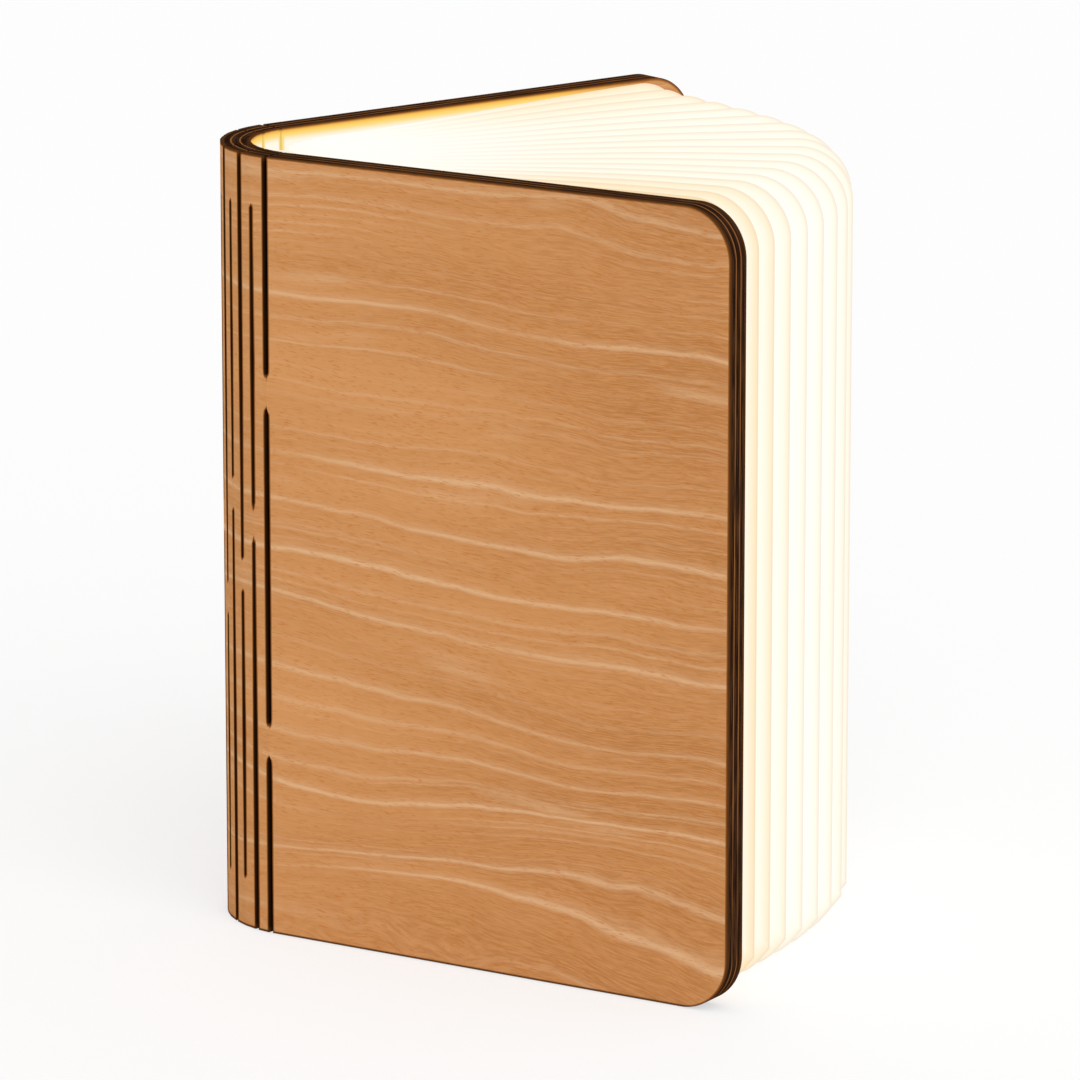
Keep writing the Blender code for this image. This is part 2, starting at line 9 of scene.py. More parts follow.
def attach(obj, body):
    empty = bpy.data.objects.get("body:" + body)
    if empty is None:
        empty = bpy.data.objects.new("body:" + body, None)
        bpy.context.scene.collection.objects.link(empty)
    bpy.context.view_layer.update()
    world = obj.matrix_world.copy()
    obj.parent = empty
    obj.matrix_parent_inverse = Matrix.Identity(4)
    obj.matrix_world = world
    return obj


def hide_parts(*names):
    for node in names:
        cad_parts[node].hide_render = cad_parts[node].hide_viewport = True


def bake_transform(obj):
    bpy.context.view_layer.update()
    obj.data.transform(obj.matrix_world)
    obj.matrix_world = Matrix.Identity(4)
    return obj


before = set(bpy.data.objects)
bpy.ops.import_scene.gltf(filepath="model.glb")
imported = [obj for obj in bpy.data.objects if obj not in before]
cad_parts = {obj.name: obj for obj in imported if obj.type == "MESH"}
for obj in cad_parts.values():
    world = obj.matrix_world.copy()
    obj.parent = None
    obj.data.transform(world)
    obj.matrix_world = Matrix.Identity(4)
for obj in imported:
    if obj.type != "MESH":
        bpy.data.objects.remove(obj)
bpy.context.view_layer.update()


# Camera: a long lens a little above the lamp, looking at the front cover from its fore-edge side.
# The lamp's places are given from the spine's outer face; half the pages' reach shifts them to its middle.

PAGE_REACH = 0.097
LENS_TO_FRAME = 7500 / 1080
CAMERA_PLACE = (-0.01073, -1.13011, 0.32741)
CAMERA_DOWN = 0.23315
CAMERA_HEADING = 1.51803


def lamp_point(x, y, z=0.0):
    """A place given from the spine's outer face, in the frame that the lamp stands in."""
    return Vector((x - PAGE_REACH / 2, y, z))


camera = bpy.data.objects.new("camera", bpy.data.cameras.new("camera"))
bpy.context.collection.objects.link(camera)
camera.data.sensor_width = 36
camera.data.lens = camera.data.sensor_width * LENS_TO_FRAME
camera.data.clip_start = 0.01
camera.data.clip_end = 20
camera.location = lamp_point(*CAMERA_PLACE)
camera.rotation_euler = (math.pi / 2 - CAMERA_DOWN, 0, CAMERA_HEADING - math.pi / 2)
bpy.context.scene.camera = camera
bpy.context.scene.view_settings.view_transform = "Standard"


# Node trees: patterns and shapes are written as sums over sockets, in materials and Geometry Nodes alike.

class Socket:
    """An output of a node tree that takes part in sums, so that a pattern reads as an expression."""

    def __init__(self, tree, socket=None):
        self.tree = tree
        self.socket = socket

    def node(self, kind, settings=None, inputs=None, output=0):
        """Add a node: its settings first, then the values or links of its sockets."""
        made = self.tree.nodes.new(kind)
        for name, value in (settings or {}).items():
            setattr(made, name, value)
        for name, value in (inputs or {}).items():
            if isinstance(value, Socket):
                self.tree.links.new(value.socket, made.inputs[name])
            else:
                made.inputs[name].default_value = value
        return Socket(self.tree, made.outputs[output])

    def maths(self, operation, *others):
        """A maths node on this number and, where the operation takes them, on others."""
        return self.node("ShaderNodeMath", {"operation": operation}, dict(enumerate((self, *others))))

    def __add__(self, other):
        return self.maths("ADD", other)

    def __sub__(self, other):
        return self.maths("SUBTRACT", other)

    def __mul__(self, other):
        return self.maths("MULTIPLY", other)

    def __truediv__(self, other):
        return self.maths("DIVIDE", other)

    def __rsub__(self, other):
        return self * -1 + other

    __radd__ = __add__
    __rmul__ = __mul__

    def rise(self, low, high):
        """0 below low, 1 above high, with a smooth step between."""
        return self.node("ShaderNodeMapRange", {"interpolation_type": "SMOOTHSTEP"},
                         {"Value": self, "From Min": low, "From Max": high})

    def tint(self, low, high):
        """Colour between two colours, by this socket as the factor."""
        return self.node("ShaderNodeMix", {"data_type": "RGBA"}, {0: self, 6: low, 7: high}, 2)

    def split(self):
        """The three numbers of a vector."""
        parts = self.node("ShaderNodeSeparateXYZ", inputs={0: self}).socket.node
        return [Socket(self.tree, part) for part in parts.outputs]

    def carried(self, name, output="Fac"):
        """What the mesh carries under a name at each of its points."""
        return self.node("ShaderNodeAttribute", {"attribute_name": name}, output=output)

    def cloud(self, stretch, detail=2.0, roughness=0.5):
        """Soft noise around 0.5 over this vector, stretched on each axis."""
        scaled = self.node("ShaderNodeVectorMath", {"operation": "MULTIPLY"}, {0: self, 1: stretch})
        return self.node("ShaderNodeTexNoise", None,
                         {"Vector": scaled, "Scale": 1.0, "Detail": detail, "Roughness": roughness})


def colour(red, green, blue):
    """An opaque colour, in linear light."""
    return (red, green, blue, 1.0)


def new_finish(name):
    """A material, its Principled shader and a loose socket of its tree to build patterns from."""
    material = bpy.data.materials.new(name)
    material.use_nodes = True
    shader = material.node_tree.nodes["Principled BSDF"]
    return material, shader, Socket(material.node_tree)


def feed(shader, name, value):
    """Put a number, a colour or a pattern on one of a shader's sockets."""
    if isinstance(value, Socket):
        value.tree.links.new(value.socket, shader.inputs[name])
    else:
        shader.inputs[name].default_value = value


def seen_or_mirrored(start):
    """1 for what the camera sees, straight or in gloss and glass, and 0 for what lights the lamp."""
    ray = start.node("ShaderNodeLightPath").socket.node
    seen = Socket(start.tree, ray.outputs["Is Camera Ray"])
    for name in ("Is Glossy Ray", "Is Transmission Ray"):
        seen = seen.maths("MAXIMUM", Socket(start.tree, ray.outputs[name]))
    return seen


# Floor and studio light: a pale matt table under a white surround, with one very soft lamp high in
# front and a weak one from the left, so that the shadow stays faint and gathers beside the spine.

FLOOR_REACH = 4.0
FLOOR_LEVEL = -0.0001
FLOOR_SHADE = 0.99
FLOOR_OWN_WHITE = 0.60
SURROUND_LIGHT = 0.66

floor_mesh = bpy.data.meshes.new("floor")
floor_mesh.from_pydata([(x * FLOOR_REACH, y * FLOOR_REACH, FLOOR_LEVEL)
                        for x, y in ((-1, -1), (1, -1), (1, 1), (-1, 1))], [], [(0, 1, 2, 3)])
floor = bpy.data.objects.new("floor", floor_mesh)
bpy.context.collection.objects.link(floor)
floor_finish, floor_shader, start = new_finish("pale_table")
feed(floor_shader, "Base Color", colour(FLOOR_SHADE, FLOOR_SHADE, FLOOR_SHADE))
feed(floor_shader, "Roughness", 0.7)
feed(floor_shader, "Specular IOR Level", 0.1)
white = start.node("ShaderNodeEmission", inputs={"Color": colour(1, 1, 1), "Strength": 1.0})
share = seen_or_mirrored(start) * FLOOR_OWN_WHITE
mixed = start.node("ShaderNodeMixShader", inputs={0: share, 1: Socket(start.tree, floor_shader.outputs[0]), 2: white})
start.tree.links.new(mixed.socket, start.tree.nodes["Material Output"].inputs["Surface"])
floor_mesh.materials.append(floor_finish)

world = bpy.data.worlds.new("surround")
bpy.context.scene.world = world
world.use_nodes = True
start = Socket(world.node_tree)
shown = seen_or_mirrored(start).tint(colour(SURROUND_LIGHT, SURROUND_LIGHT, SURROUND_LIGHT), colour(1, 1, 1))
world.node_tree.links.new(shown.socket, world.node_tree.nodes["Background"].inputs["Color"])

for name, aim, softness, strength in (("key_lamp", (-0.25, 0.80, -0.75), 60, 1.25),
                                      ("side_lamp", (0.60, 0.75, -0.60), 80, 0.25)):
    lamp = bpy.data.lights.new(name, "SUN")
    lamp.angle = math.radians(softness)
    lamp.energy = strength
    holder = bpy.data.objects.new(name, lamp)
    holder.location = -Vector(aim)
    holder.rotation_euler = Vector(aim).to_track_quat("-Z", "Y").to_euler()
    bpy.context.collection.objects.link(holder)


# Plywood of the cover: birch veneers with a beech-toned face, cut by laser from one sheet, so every
# cut edge is charred nearly black with the glue lines showing through. The inner face has a painted glow of the
# lamp's light.

COVER_HEIGHT = 0.122
PLY_THICKNESS = 0.0047
KERF_PITCH = 0.0025
KERFS_PER_SIDE = 6
SPINE_HALF_LENGTH = KERFS_PER_SIDE * KERF_PITCH

# Growth rings and flecks. Here and below, a pair gives the places between which a pattern sets in or fades
RING_PITCH = 0.0040
FINE_RING_PITCH = 0.0015
RING_SLOPE = 0.035
RING_SWELL = 0.036
RING_WANDER = 0.0030
LOOP_HEIGHTS = (0.012, 0.050)
PALE_AND_LIT_REACH = COVER_HEIGHT * 0.8
FLECK_SLANT = 0.05

# Cut edge: glue lines, the outermost veneer, painted shade deep in the kerfs and a dark line along the foot
GLUE_LINE_PLACE = 0.0007
GLUE_LINE_EDGES = (0.00005, 0.00019)
SKIN_THICKNESS = 0.0009
SKIN_FADE_END = 0.0001
KERF_SHADE_PAST_SPINE = (0.0005, 0.0020)
KERF_SHADE_FROM_RIM = (0.0002, 0.0012)
FOOT_DARK_LINE_HEIGHTS = (0.00018, 0.00050)

# The lamp's light on the inner face, counted past the spine and in from the cover's head and foot
INNER_FACE_DEPTHS = (0.00025, 0.00005)
GLOW_END_PAST_SPINE = (0.050, 0.076)
GLOW_STARTS_FROM_RIM = (0.0001, 0.0006)
GLOW_PALES_FROM_RIM = (0.0003, 0.0011)
GLOW_WHITENS_FROM_RIM = (0.0009, 0.0023)

FACE_TONES = (colour(0.368, 0.140, 0.036), colour(0.612, 0.281, 0.100))
FIBRE_TONE = colour(0.615, 0.300, 0.118)
STREAK_TONE = colour(0.700, 0.440, 0.245)
FLECK_TONE = colour(0.490, 0.155, 0.022)
BURNT_TONE = colour(0.270, 0.090, 0.018)
CHAR_TONES = (colour(0.018, 0.008, 0.005), colour(0.082, 0.034, 0.013))
GLUE_TONE = colour(0.300, 0.115, 0.032)
SKIN_TONE = colour(0.110, 0.040, 0.010)
KERF_SHADE_TONE = colour(0.004, 0.002, 0.001)
GLOW_RIM = colour(0.93, 0.47, 0.07)
GLOW_NEAR = colour(0.98, 0.69, 0.17)
GLOW_DEEP = colour(0.99, 0.95, 0.82)


def pale_rings(phase, width, tail):
    """Pale growth lines, one to a unit of phase, each sharp below and fading above, some of them missing."""
    place = phase.maths("FRACT") - 0.5
    chance = phase.node("ShaderNodeTexWhiteNoise", {"noise_dimensions": "1D"}, {"W": phase.maths("FLOOR")})
    line = 1 - place.maths("ABSOLUTE").rise(0.0, width * (0.5 + chance * 0.7))
    fade = place.rise(-0.02, 0.0) * (1 - place.rise(0.0, tail)) * 0.38
    return line.maths("MAXIMUM", fade) * chance.rise(0.10, 1.0)


def veneer_face(sheet, along, out, up):
    """Beech-toned veneer: its colour, and the fibres and flecks that also show in its relief."""
    # Growth rings run nearly level and wander; towards the foot they close into loops
    level = up - along * RING_SLOPE
    loops = 1 - up.rise(*LOOP_HEIGHTS) * 0.72
    swell = (sheet.cloud((13, 0, 30), 1.0) - 0.5) * loops * RING_SWELL
    wander = (sheet.cloud((48, 0, 75), 2.0) - 0.5) * RING_WANDER
    ring_level = level + swell + wander
    grain = sheet.node("ShaderNodeCombineXYZ", inputs={"X": along, "Y": out * 0.2, "Z": ring_level})
    # It is palest beside the spine and deepens a little towards the fore edges: partly the veneer's own tone, partly
    # painted light that falls off away from the spine
    broad = sheet.cloud((14, 0, 24), 1.0).rise(0.30, 0.70)
    pale_and_lit_near_spine = 1 - along.maths("ABSOLUTE").rise(SPINE_HALF_LENGTH, PALE_AND_LIT_REACH)
    tone = grain.cloud((7, 40, 95), 4.0, 0.6).rise(0.28, 0.72) * 0.45 + broad * 0.2 + pale_and_lit_near_spine * 0.4
    face = tone.tint(*FACE_TONES)
    # Fibres, then pale growth lines, wide and fine, and a few pale patches
    fibre = grain.cloud((260, 300, 4600), 3.0, 0.65)
    face = (fibre.rise(0.25, 0.75) * 0.75).tint(face, FIBRE_TONE)
    rings = pale_rings(ring_level / RING_PITCH, 0.17, 0.45) * grain.cloud((14, 0, 130), 1.0).rise(0.28, 0.52)
    fine_rings = pale_rings(ring_level / FINE_RING_PITCH, 0.24, 0.5)
    fine_rings = fine_rings * grain.cloud((12, 0, 60), 1.0).rise(0.38, 0.60)
    patch = grain.cloud((22, 0, 150), 2.0).rise(0.58, 0.72)
    pale = (rings * 0.80).maths("MAXIMUM", fine_rings * 0.42).maths("MAXIMUM", patch * 0.50)
    face = (pale * (0.72 + fibre * 0.5)).tint(face, STREAK_TONE)
    # Short orange flecks that slant a little across the rings
    fleck_level = level + wander - along * FLECK_SLANT
    slant = sheet.node("ShaderNodeCombineXYZ", inputs={"X": along, "Y": out, "Z": fleck_level})
    fleck = slant.cloud((720, 300, 5400), 1.0).rise(0.55, 0.74) * grain.cloud((80, 0, 160), 1.0).rise(0.15, 0.60)
    return (fleck * 0.55).tint(face, FLECK_TONE), fibre, fleck


def laser_char(sheet, out, kerf_shade):
    """Cut edge: streaks along the veneers, a browner outermost veneer, two glue lines, and painted shade deep in a
    kerf.
    """
    half = PLY_THICKNESS / 2
    depth = out.maths("ABSOLUTE")
    char = sheet.cloud((170, 2400, 170), 2.0).rise(0.38, 0.78).tint(*CHAR_TONES)
    skin = depth.rise(half - SKIN_THICKNESS, half - SKIN_FADE_END)
    char = (skin * 0.75).tint(char, SKIN_TONE)
    glue = 1 - (depth - GLUE_LINE_PLACE).maths("ABSOLUTE").rise(*GLUE_LINE_EDGES)
    glue = glue * sheet.cloud((70, 0, 70), 2.0).rise(0.22, 0.55)
    char = (glue * 0.9).tint(char, GLUE_TONE)
    return (kerf_shade * 0.65).tint(char, KERF_SHADE_TONE)


def lit_plywood():
    """Plywood on the sheet's own coordinates: along the grain, out of the face and up the cover."""
    material, shader, start = new_finish("plywood")
    sheet = start.carried("veneer", "Vector")
    scorch = start.carried("scorch")
    along, out, up = sheet.split()
    half = PLY_THICKNESS / 2
    rim = up.maths("MINIMUM", COVER_HEIGHT - up)
    past_spine = along.maths("ABSOLUTE") - SPINE_HALF_LENGTH
    face, fibre, fleck = veneer_face(sheet, along, out, up)
    # Painted shade deep in the kerfs: near the spine and away from the rims the cut edge goes nearly black
    kerf_shade = (1 - past_spine.rise(*KERF_SHADE_PAST_SPINE)) * rim.rise(*KERF_SHADE_FROM_RIM)
    char = laser_char(sheet, out, kerf_shade)
    # Laser scorch: an orange-brown rim that turns black towards the cut, and a dark line along the foot
    rough_scorch = scorch + (sheet.cloud((900, 900, 260), 2.0) - 0.5) * 0.22 * scorch.rise(0.05, 0.4)
    burnt = rough_scorch.rise(0.10, 0.50).tint(face, BURNT_TONE)
    foot = 1 - up.rise(*FOOT_DARK_LINE_HEIGHTS)
    ground = rough_scorch.rise(0.45, 0.95).maths("MAXIMUM", foot * 0.9).tint(burnt, char)
    # The lamp's light on the inner face: orange at the rim, almost white further in, dying out at the fore
    # edge, and creeping a little way into the kerfs
    inner = (0 - out).rise(*(half - depth for depth in INNER_FACE_DEPTHS))
    lit = rim.rise(*GLOW_STARTS_FROM_RIM) * (1 - past_spine.rise(*GLOW_END_PAST_SPINE))
    glow = inner * lit
    seep = (0 - out).rise(half * 0.1, half) * lit * scorch * (1 - inner) * 0.85
    warm = rim.rise(*GLOW_PALES_FROM_RIM).tint(GLOW_RIM, GLOW_NEAR)
    warm = (rim.rise(*GLOW_WHITENS_FROM_RIM) * (1 - scorch.rise(0.0, 0.6) * 0.9)).tint(warm, GLOW_DEEP)
    feed(shader, "Base Color", (glow * 0.96).tint(ground, colour(0.01, 0.008, 0.005)))
    feed(shader, "Emission Color", glow.maths("MAXIMUM", seep).tint(colour(0, 0, 0), warm))
    feed(shader, "Emission Strength", 0.98)
    feed(shader, "Specular IOR Level", 0.0)
    feed(shader, "Coat Weight", (1 - scorch.rise(0.0, 0.3)) * (1 - glow) * 0.10)
    feed(shader, "Coat Roughness", 0.42)
    feed(shader, "Roughness", 0.52 - fibre * 0.16 + scorch.rise(0.3, 0.9) * 0.22)
    relief = fibre * 0.6 - fleck * 0.8 + sheet.cloud((1400, 1400, 1400), 2.0) * scorch
    bump = start.node("ShaderNodeBump", None, {"Strength": 0.25, "Distance": 0.00008, "Height": relief})
    feed(shader, "Normal", bump)
    return material


plywood = lit_plywood()


def store(mesh, name, kind, values):
    """Give each point of a mesh its own value of a named attribute."""
    layer = mesh.attributes.new(name, kind, "POINT")
    key = "vector" if kind == "FLOAT_VECTOR" else "value"
    flat = [number for value in values for number in value] if key == "vector" else values
    layer.data.foreach_set(key, flat)


# Spine: eleven slats of the same sheet, left standing between the laser-cut kerfs. Short bridges of
# uncut wood at staggered heights hold them together and twist as the spine bends.

KERF_WIDTH = 0.0007
REST_HALF_OPENING = math.radians(35)
REST_HALF_BEND = math.pi / 2 - REST_HALF_OPENING
KERF_TURN = REST_HALF_BEND / KERFS_PER_SIDE
RIM_BRIDGE_HEIGHT = 0.0078
MID_BRIDGE_HEIGHT = 0.0045

# For each kerf from the centre slat out: its bridges as shares of the height, and the end left uncut, T or B
BRIDGE_SHARES = ((0.52,), (0.42,), (0.56,), (0.46,), (0.53,), (0.25, 0.70))
UNCUT_RIMS = ("T", "B", "T", "B", "T", "")

SCORCH_WIDTH = 0.00042
EASE = 0.00010
SLAT_ROWS = 150
OUTERMOST_ROW = (0.9990, 0.9999)
FAR_AWAY = -1.0
SLIT_OPENING = 0.0004
SLIT_SHARE = 0.06
SLOW_OPENING = 0.038
QUICK_OPENING = 0.0014
OUTER_OF_FOUR = (0.5, 0.9)


def kerf_point(kerf, side):
    """Middle of a kerf's wall at rest; kerf 1 is next to the centre slat."""
    x = PLY_THICKNESS / 2
    y = KERF_PITCH / 2
    for slat in range(1, kerf):
        x += KERF_PITCH * math.sin(slat * KERF_TURN)
        y += KERF_PITCH * math.cos(slat * KERF_TURN)
    return lamp_point(x, side * y)


def wall_directions(slat, side):
    """Along and out of the wall for a slat, or for a cover as slat six."""
    heading = slat * KERF_TURN
    return (Vector((math.sin(heading), side * math.cos(heading), 0)),
            Vector((-math.cos(heading), side * math.sin(heading), 0)))


def bridge_spans(kerf):
    """Three spans of uncut wood across a kerf, as their lower and their upper ends."""
    spans = [(share * COVER_HEIGHT - MID_BRIDGE_HEIGHT / 2, share * COVER_HEIGHT + MID_BRIDGE_HEIGHT / 2)
             for share in BRIDGE_SHARES[kerf - 1]]
    if "B" in UNCUT_RIMS[kerf - 1]:
        spans.append((FAR_AWAY, RIM_BRIDGE_HEIGHT))
    if "T" in UNCUT_RIMS[kerf - 1]:
        spans.append((COVER_HEIGHT - RIM_BRIDGE_HEIGHT, -FAR_AWAY))
    while len(spans) < 3:
        spans.append((FAR_AWAY, FAR_AWAY))
    return Vector([span[0] for span in spans]), Vector([span[1] for span in spans])


def grow_tree(name, sockets):
    """A Geometry Nodes tree with named inputs; returns it with its inputs as sockets."""
    tree = bpy.data.node_groups.new(name, "GeometryNodeTree")
    tree.interface.new_socket("Geometry", in_out="INPUT", socket_type="NodeSocketGeometry")
    for label, kind in sockets:
        tree.interface.new_socket(label, in_out="INPUT", socket_type=kind)
    tree.interface.new_socket("Geometry", in_out="OUTPUT", socket_type="NodeSocketGeometry")
    entry = tree.nodes.new("NodeGroupInput")
    return tree, {label: Socket(tree, entry.outputs[label]) for label, _ in sockets}


def end_tree(geometry, material):
    """Close a tree: instances made real, and its material set."""
    whole = geometry.node("GeometryNodeRealizeInstances", None, {"Geometry": geometry})
    painted = whole.node("GeometryNodeSetMaterial", None, {"Geometry": whole, "Material": material})
    leave = geometry.tree.nodes.new("NodeGroupOutput")
    geometry.tree.links.new(painted.socket, leave.inputs[0])


def grown_mesh(name, tree, values, finish=()):
    """Evaluate a tree with its inputs set, and return a plain object with the result."""
    holder = bpy.data.objects.new(name + "_seed", bpy.data.meshes.new(name + "_seed"))
    bpy.context.collection.objects.link(holder)
    modifier = holder.modifiers.new("shape", "NODES")
    modifier.node_group = tree
    for item in tree.interface.items_tree:
        if item.in_out == "INPUT" and item.name in values:
            modifier[item.identifier] = values[item.name]
    for kind, settings in finish:
        extra = holder.modifiers.new(kind.lower(), kind)
        for key, value in settings.items():
            setattr(extra, key, value)
    evaluated = holder.evaluated_get(bpy.context.evaluated_depsgraph_get())
    mesh = bpy.data.meshes.new_from_object(evaluated)
    mesh.name = name
    bpy.data.objects.remove(holder)
    piece = bpy.data.objects.new(name, mesh)
    bpy.context.collection.objects.link(piece)
    return piece


def kerf_ease(kerf):
    """Height over which a kerf opens from its bridge: the one beside the cover is slack at once."""
    return QUICK_OPENING if kerf == KERFS_PER_SIDE else SLOW_OPENING


def kerf_openness(height, lows, highs, ease):
    """How open a kerf is at a height: 0 on a bridge, then quickly a slit and slowly a wide one."""
    clear = None
    for low, high in zip(lows, highs):
        gap = (low - height).maths("MAXIMUM", height - high)
        clear = gap if clear is None else clear.maths("MINIMUM", gap)
    return clear.rise(0.0, SLIT_OPENING), clear.rise(0.0, ease)


def stretched(vector, factor):
    """A vector made longer or shorter."""
    return vector.node("ShaderNodeVectorMath", {"operation": "SCALE"}, {0: vector, "Scale": factor})


def added(*vectors):
    """The sum of some vectors."""
    total = vectors[0]
    for vector in vectors[1:]:
        total = total.node("ShaderNodeVectorMath", {"operation": "ADD"}, {0: total, 1: vector})
    return total


def marked(geometry, name, value, kind="FLOAT"):
    """The same mesh with a value stored under a name at each of its points."""
    return geometry.node("GeometryNodeStoreNamedAttribute", {"data_type": kind, "domain": "POINT"},
                         {"Geometry": geometry, "Name": name, "Value": value})


VECTOR, NUMBER, COUNT = "NodeSocketVector", "NodeSocketFloat", "NodeSocketInt"
tree, given = grow_tree("kerf_slat", [
    ("Height", NUMBER), ("Width", NUMBER), ("Thickness", NUMBER), ("Kerf Width", NUMBER), ("Scorch Width", NUMBER),
    ("Mitre", NUMBER), ("Near Bridges Low", VECTOR), ("Near Bridges High", VECTOR), ("Near Ease", NUMBER),
    ("Far Bridges Low", VECTOR), ("Far Bridges High", VECTOR), ("Far Ease", NUMBER), ("Place", VECTOR),
    ("Along", VECTOR), ("Out", VECTOR), ("Sheet Start", NUMBER), ("Sheet Sense", NUMBER), ("Rows", COUNT),
    ("Material", "NodeSocketMaterial")])
cube = given["Height"].node("GeometryNodeMeshCube", None, {
    "Size": (2, 2, 2), "Vertices X": 4, "Vertices Y": 4, "Vertices Z": given["Rows"]}, "Mesh")
place = cube.node("GeometryNodeInputPosition")
across, through, rise = place.split()
# The outermost rows and columns lie on the cut, the next ones a scorch's width inside it
outer_row = rise.maths("ABSOLUTE").rise(*OUTERMOST_ROW)
next_row = rise.maths("ABSOLUTE").maths("GREATER_THAN", 1 - 3.0 / (SLAT_ROWS - 1)) * (1 - outer_row)
straight = (rise + 1) * given["Height"] * 0.5
rim_place = given["Height"] * 0.5 + rise.maths("SIGN") * (given["Height"] * 0.5 - given["Scorch Width"])
height = straight + next_row * (rim_place - straight)
far = across.rise(-0.1, 0.1)
edge = across.maths("ABSOLUTE").rise(*OUTER_OF_FOUR)
on_face = through.maths("ABSOLUTE").rise(*OUTER_OF_FOUR)
level = through.maths("SIGN") * (given["Thickness"] * 0.5 - EASE * (1 - on_face))
near_slit, near_wide = kerf_openness(height, given["Near Bridges Low"].split(), given["Near Bridges High"].split(),
                                     given["Near Ease"])
far_slit, far_wide = kerf_openness(height, given["Far Bridges Low"].split(), given["Far Bridges High"].split(),
                                   given["Far Ease"])
slit = near_slit + far * (far_slit - near_slit)
wide = near_wide + far * (far_wide - near_wide)
# The laser enters from the inner face, so the cut narrows towards the outer one
narrow = 1 - (level / given["Thickness"]).maths("MAXIMUM", 0.0)
cut_back = given["Kerf Width"] * 0.5 * slit * (SLIT_SHARE + wide * (1 - SLIT_SHARE)) * narrow \
    - given["Mitre"] * level * (1 - slit)
inset = cut_back + given["Scorch Width"] * (1 - edge)
width_place = inset + far * (given["Width"] - inset * 2)
scorched = (edge * slit).maths("MAXIMUM", outer_row)
upright = cube.node("ShaderNodeCombineXYZ", None, {"Z": height})
target = added(given["Place"], stretched(given["Along"], width_place), stretched(given["Out"], level), upright)
sheet = cube.node("ShaderNodeCombineXYZ", None,
                  {"X": given["Sheet Start"] + given["Sheet Sense"] * width_place, "Y": level, "Z": height})
burnt = marked(marked(cube, "veneer", sheet, "FLOAT_VECTOR"), "scorch", scorched)
shaped = cube.node("GeometryNodeSetPosition", None, {"Geometry": burnt, "Position": target})
end_tree(shaped, given["Material"])
slat_tree = tree


def outward(mesh):
    """Turn every face of a closed mesh outwards."""
    builder = bmesh.new()
    builder.from_mesh(mesh)
    bmesh.ops.recalc_face_normals(builder, faces=builder.faces)
    builder.to_mesh(mesh)
    builder.free()


def make_slat(name, node, body, place, directions, near_kerf, far_kerf, sheet_start, sheet_sense):
    """One slat between its near and its far kerf, cut from its own stretch of the sheet."""
    near_low, near_high = bridge_spans(near_kerf)
    far_low, far_high = bridge_spans(far_kerf)
    piece = grown_mesh(name, slat_tree, {
        "Height": COVER_HEIGHT, "Width": KERF_PITCH, "Thickness": PLY_THICKNESS, "Kerf Width": KERF_WIDTH,
        "Scorch Width": SCORCH_WIDTH, "Mitre": math.tan(KERF_TURN / 2), "Near Bridges Low": near_low,
        "Near Bridges High": near_high, "Near Ease": kerf_ease(near_kerf), "Far Bridges Low": far_low,
        "Far Bridges High": far_high, "Far Ease": kerf_ease(far_kerf), "Place": place,
        "Along": directions[0], "Out": directions[1], "Sheet Start": sheet_start, "Sheet Sense": sheet_sense,
        "Rows": SLAT_ROWS, "Material": plywood})
    outward(piece.data)
    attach(piece, body)
    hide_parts(node)


make_slat("centre_slat", "spine_slat_centre", "spine_core", lamp_point(PLY_THICKNESS / 2, -KERF_PITCH / 2),
          (Vector((0, 1, 0)), Vector((-1, 0, 0))), 1, 1, -KERF_PITCH / 2, 1.0)
for side, name in ((-1, "front"), (1, "back")):
    for slat in range(1, KERFS_PER_SIDE):
        make_slat(f"{name}_slat_{slat}", f"spine_slat_{name}_{slat}", f"{name}_slat_{slat}", kerf_point(slat, side),
                  wall_directions(slat, side), slat, slat + 1, side * KERF_PITCH * (slat - 0.5), float(side))


# Cover boards: the two flat ends of the same sheet, with a rounded fore-edge corner at head and foot,
# charred all round their cut edge and lightly eased where face and edge meet.

COVER_REACH = 0.0817
COVER_CORNER_RADIUS = 0.008
INNER_SCORCH_WIDTH = SCORCH_WIDTH * 1.6
EASED_SCORCH = 0.75
SHARP_FROM = math.radians(30)
CORNER_STEPS = 20
KERF_SIDE_STEPS = 150


def kerf_cut(height, kerf):
    """Half width of a kerf at a height as the slats have it, and how far it is cut through."""
    lows, highs = bridge_spans(kerf)
    clear = min(max(low - height, height - high) for low, high in zip(lows, highs))

    def rise(value, low, high):
        share = min(1.0, max(0.0, (value - low) / (high - low)))
        return share * share * (3 - 2 * share)

    slit = rise(clear, 0.0, SLIT_OPENING)
    wide = rise(clear, 0.0, kerf_ease(kerf))
    return KERF_WIDTH / 2 * slit * (SLIT_SHARE + (1 - SLIT_SHARE) * wide), slit


def board_ring(inset, level):
    """One loop round the board inside its outline: places along and up, and the cut share; bridges stay flush."""
    loop = []
    for step in range(KERF_SIDE_STEPS + 1):
        height = COVER_HEIGHT * (1 - step / KERF_SIDE_STEPS)
        back, slit = kerf_cut(height, KERFS_PER_SIDE)
        back *= 1 - max(0.0, level / PLY_THICKNESS)
        mitre = math.tan(KERF_TURN / 2) * level * (1 - slit)
        height = min(COVER_HEIGHT - inset, max(inset, height))
        flush = max(0.0, inset - EASE * (1 - slit))
        loop.append((back - mitre + flush, height, slit if 0 < step < KERF_SIDE_STEPS else 1.0))
    radius = COVER_CORNER_RADIUS - inset
    for middle_up, first in ((COVER_CORNER_RADIUS, -math.pi / 2), (COVER_HEIGHT - COVER_CORNER_RADIUS, 0.0)):
        for step in range(CORNER_STEPS + 1):
            angle = first + math.pi / 2 * step / CORNER_STEPS
            loop.append((COVER_REACH - COVER_CORNER_RADIUS + radius * math.cos(angle),
                         middle_up + radius * math.sin(angle), 1.0))
    return loop


